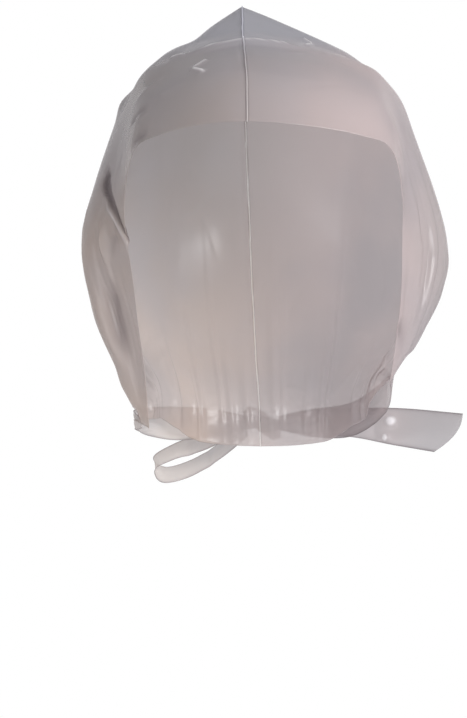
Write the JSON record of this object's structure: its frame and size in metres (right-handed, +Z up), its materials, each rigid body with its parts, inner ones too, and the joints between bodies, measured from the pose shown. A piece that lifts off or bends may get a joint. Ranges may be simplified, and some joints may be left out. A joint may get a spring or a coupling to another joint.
{
  "type": "disposable highlighting cap",
  "caption": "Hood of thin milky plastic film for hair colouring, worn: two welded side panels, a pointed crown seam and flat ties knotted behind the neck.",
  "frame": {"origin": "inner face of the seam on top of the crown, where the head carries the film", "axes": "+Z up, the face opening looks along -Y, and the wearer's left is +X"},
  "size_m": [0.1938, 0.1827, 0.2443],
  "materials": {
    "panel_film": "thin milky grey-lilac film, translucent, satin with glossy creases",
    "seam_weld": "narrow heat-welded seam, paler and glossy",
    "tie_film": "doubled milky film, translucent, glossy along its folds"
  },
  "bodies": {
    "root": {"right_panel": "panel_film", "left_panel": "panel_film", "crown_seam": "seam_weld", "right_tie": "tie_film", "left_tie": "tie_film", "tie_tail": "tie_film", "tie_loop": "tie_film", "knot": "tie_film"}
  },
  "joints": []
}
